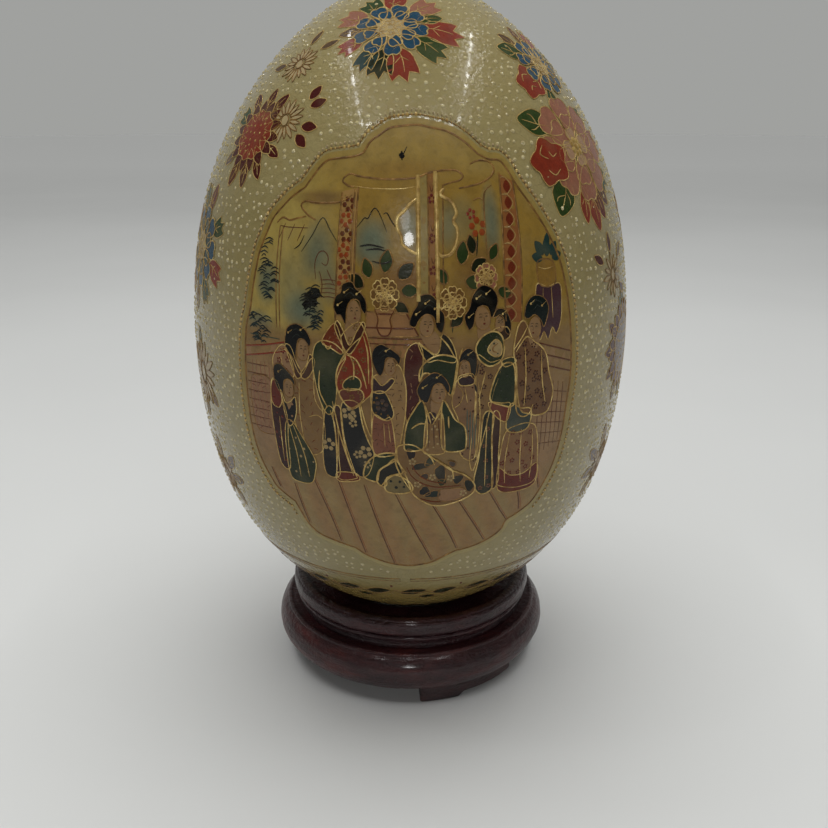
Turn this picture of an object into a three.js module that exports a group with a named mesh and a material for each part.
// Enamelled porcelain egg standing in a turned and lacquered wooden stand.
//
// Millimetres, +Z up. The origin is on the floor, on the common axis of egg and stand.
// The painted front faces -Y and +X is to its right.
// Pieces: a hollow slip-cast egg, the stand's upper seat ring, the lower base ring that
// the seat ring is glued into, and bracket feet glued under the base ring.

import * as THREE from 'three';
import { mergeVertices } from 'three/addons/utils/BufferGeometryUtils.js';

const JOINT_GAP = 0.3;          // clearance left between neighbouring pieces
const TURNS = 64;               // facets round every turned piece

// Egg
const EGG_HEIGHT = 150;         // from pole to pole, before the base is ground flat
const EGG_RADIUS = 51.6;        // at half height
const EGG_MIDDLE_Z = 90;        // height of the egg's half-height plane
const EGG_TAPER = [-0.044, 0.105, -0.068, -0.178];
const EGG_WALL = 4;
const EGG_BASE_ANGLE = 2.965;   // polar angle where the curve meets the ground base
const EGG_OUTER_STEPS = 28;
const EGG_INNER_STEPS = 14;
const VENT_RADIUS = 1.6;        // kiln vent in the middle of the base

// Seat ring
const BORE_RADIUS = 19.2;
const SEAT_BOTTOM_Z = 14.3;
const SEAT_OUTER_RADIUS = 21.6; // outer edge of the band that the egg rests on
const DISH_RADIUS = 27.4;
const DISH_Z = 20.9;
const NECK_RADIUS = 30;
const BEAD = { r: 30.1, z: 17.2, size: 0.7 };
const LIP = { r: 29.5, z: 20.4, width: 1.8, height: 2 };
const LIP_EDGE = { r: 31, z: 18.3 };

// Base ring
const BASE_BOTTOM_Z = 4.3;
const BASE_TOP_Z = 14;
const REBATE_RADIUS = 30.35;    // the seat ring's neck drops into this recess
const ARRIS = { r: 32.5, z: 14.2, size: 0.6 };
const BULGE = { r: 30.4, z: 9.3, width: 5, height: 5.2 };

// Feet
const FOOT_COUNT = 3;
const FOOT_FIRST_ANGLE = 4.4;   // degrees, from the front towards the right
const FOOT_SPAN = 49.6;         // degrees
const FOOT_PAD_SPAN = 17.4;     // the part that touches the floor
const FOOT_STEP_SPAN = 3.4;     // the curved step from pad to wing
const FOOT_WING_LIFT = 1.2;     // clearance under the wing
const FOOT_END_RADIUS = 0.9;
const FOOT_OUTER_RADIUS = 31.8;
const FOOT_THICKNESS = 5;
const FOOT_TOP_Z = 4;
const FOOT_SLICES = 12;

const radians = THREE.MathUtils.degToRad;
const at = (r, z) => new THREE.Vector2(r, z);

// Point on the egg's surface at polar angle t, 0 at the top pole and PI at the bottom one.
function eggPoint(t) {
  const s = Math.cos(t);
  const taper = EGG_TAPER.reduce((sum, a, i) => sum + a * s ** (i + 1), 0);
  return at(EGG_RADIUS * Math.sin(t) * Math.exp(taper), EGG_MIDDLE_Z + EGG_HEIGHT / 2 * s);
}

// The same point moved along the surface normal, outwards when distance is positive.
function eggOffset(t, distance) {
  const dt = 1e-4;
  const along = eggPoint(t + dt).sub(eggPoint(t - dt)).normalize();
  return eggPoint(t).add(at(-along.y, along.x).multiplyScalar(distance));
}

// Polar angle below the middle at which the egg, offset by distance, has radius r.
function eggAngleAtRadius(r, distance) {
  let low = Math.PI / 2;
  let high = EGG_BASE_ANGLE;
  for (let i = 0; i < 40; i += 1) {
    const middle = (low + high) / 2;
    if (eggOffset(middle, distance).x > r) low = middle;
    else high = middle;
  }
  return (low + high) / 2;
}

// Points along an elliptical arc, angles in degrees from the outward direction.
function arc(r, z, width, height, from, to, steps) {
  const curve = new THREE.EllipseCurve(r, z, width, height, radians(from), radians(to), to < from);
  return curve.getPoints(steps);
}

// Closed solid of revolution about Z. Profile points are (radius, height).
function turned(profile) {
  const lathe = new THREE.LatheGeometry(profile, TURNS);
  lathe.deleteAttribute('normal');
  lathe.deleteAttribute('uv');
  const solid = mergeVertices(lathe.rotateX(Math.PI / 2), 1e-4);
  const kept = [];
  const index = solid.getIndex().array;
  for (let i = 0; i < index.length; i += 3) {
    const [a, b, c] = index.slice(i, i + 3);
    if (a !== b && b !== c && c !== a) kept.push(a, b, c);
  }
  solid.setIndex(kept);
  solid.computeVertexNormals();
  return solid;
}

function piece(name, geometry, color, roughness) {
  const material = new THREE.MeshStandardMaterial({ color, roughness, metalness: 0 });
  const mesh = new THREE.Mesh(geometry, material);
  mesh.name = name;
  return mesh;
}

// Hollow egg: down the inside from the pole to the vent, then up the outside to the pole.
function eggProfile() {
  const base = eggPoint(EGG_BASE_ANGLE);
  const top = EGG_MIDDLE_Z + EGG_HEIGHT / 2;
  const profile = [at(0, top - EGG_WALL)];
  for (let i = 1; i <= EGG_INNER_STEPS; i += 1) {
    profile.push(eggOffset(EGG_BASE_ANGLE * i / EGG_INNER_STEPS, -EGG_WALL));
  }
  profile.push(at(VENT_RADIUS, base.y + EGG_WALL), at(VENT_RADIUS, base.y));
  for (let i = EGG_OUTER_STEPS; i > 0; i -= 1) {
    profile.push(eggPoint(EGG_BASE_ANGLE * i / EGG_OUTER_STEPS));
  }
  profile.push(at(0, top));
  return profile;
}

// Upper ring: a band ground to the egg, a shallow dish, a rounded lip, a bead and a neck.
function seatProfile() {
  const seatBand = [];
  const inner = eggAngleAtRadius(BORE_RADIUS, JOINT_GAP);
  const outer = eggAngleAtRadius(SEAT_OUTER_RADIUS, JOINT_GAP);
  const bandSteps = 2;
  for (let i = 0; i <= bandSteps; i += 1) {
    seatBand.push(eggOffset(inner + (outer - inner) * i / bandSteps, JOINT_GAP));
  }
  const profile = [
    at(BORE_RADIUS, SEAT_BOTTOM_Z),
    ...seatBand,
    at(DISH_RADIUS, DISH_Z),
    ...arc(LIP.r, LIP.z, LIP.width, LIP.height, 150, -10, 9),
    at(LIP_EDGE.r, LIP_EDGE.z),
    at(NECK_RADIUS, BEAD.z + BEAD.size),
    ...arc(BEAD.r, BEAD.z, BEAD.size, BEAD.size, 60, -60, 4),
    at(NECK_RADIUS - 0.3, BEAD.z - BEAD.size - 0.4),
    at(NECK_RADIUS, SEAT_BOTTOM_Z),
    at(BORE_RADIUS, SEAT_BOTTOM_Z),
  ];
  return profile.reverse();
}

// Lower ring: a recess for the neck, a fine arris bead and a full rounded bulge.
function baseProfile() {
  return [
    at(BORE_RADIUS, BASE_BOTTOM_Z),
    ...arc(BULGE.r, BULGE.z, BULGE.width, BULGE.height, -70, 56, 12),
    ...arc(ARRIS.r, ARRIS.z, ARRIS.size, ARRIS.size / 2, -10, 120, 3),
    at(REBATE_RADIUS + 0.4, BASE_TOP_Z + 0.1),
    at(REBATE_RADIUS, BASE_TOP_Z),
    at(BORE_RADIUS, BASE_TOP_Z),
    at(BORE_RADIUS, BASE_BOTTOM_Z),
  ];
}

// Bracket foot, drawn unrolled as degrees along the ring by height, then bent to it.
function footGeometry() {
  const padEnd = FOOT_PAD_SPAN;
  const wingStart = padEnd + FOOT_STEP_SPAN;
  const side = new THREE.Shape();
  side.moveTo(0, 0);
  const lower = (x, z) => side.lineTo(x, z);
  const padSlices = FOOT_SLICES / 3;
  for (let i = 1; i <= padSlices; i += 1) lower(padEnd * i / padSlices, 0);
  const stepSlices = 4;
  for (let i = 1; i <= stepSlices; i += 1) {
    const rise = (1 - Math.cos(Math.PI * i / stepSlices)) / 2;
    lower(padEnd + FOOT_STEP_SPAN * i / stepSlices, FOOT_WING_LIFT * rise);
  }
  const wingEnd = FOOT_SPAN - FOOT_END_RADIUS;
  const wingSlices = FOOT_SLICES / 2;
  for (let i = 1; i <= wingSlices; i += 1) {
    lower(wingStart + (wingEnd - wingStart) * i / wingSlices, FOOT_WING_LIFT);
  }
  lower(FOOT_SPAN, FOOT_WING_LIFT + FOOT_END_RADIUS);
  for (let i = FOOT_SLICES; i >= 0; i -= 1) lower(FOOT_SPAN * i / FOOT_SLICES, FOOT_TOP_Z);

  const blank = new THREE.ExtrudeGeometry(side, { depth: FOOT_THICKNESS, bevelEnabled: false });
  blank.deleteAttribute('normal');
  blank.deleteAttribute('uv');
  const position = blank.getAttribute('position');
  for (let i = 0; i < position.count; i += 1) {
    const angle = radians(position.getX(i));
    const height = position.getY(i);
    const radius = FOOT_OUTER_RADIUS - FOOT_THICKNESS + position.getZ(i);
    position.setXYZ(i, radius * Math.sin(angle), -radius * Math.cos(angle), height);
  }
  const bent = mergeVertices(blank, 1e-4);
  bent.computeVertexNormals();
  return bent;
}

const object = new THREE.Group();
object.name = 'egg_on_stand';

object.add(piece('egg_shell', turned(eggProfile()), 0xcfc79a, 0.2));
object.add(piece('stand_seat_ring', turned(seatProfile()), 0x3a1418, 0.25));
object.add(piece('stand_base_ring', turned(baseProfile()), 0x451a1b, 0.25));

for (let i = 0; i < FOOT_COUNT; i += 1) {
  const foot = piece(`stand_foot_${i + 1}`, footGeometry(), 0x3d1719, 0.3);
  foot.rotation.z = radians(FOOT_FIRST_ANGLE + i * 360 / FOOT_COUNT);
  object.add(foot);
}

export default object;
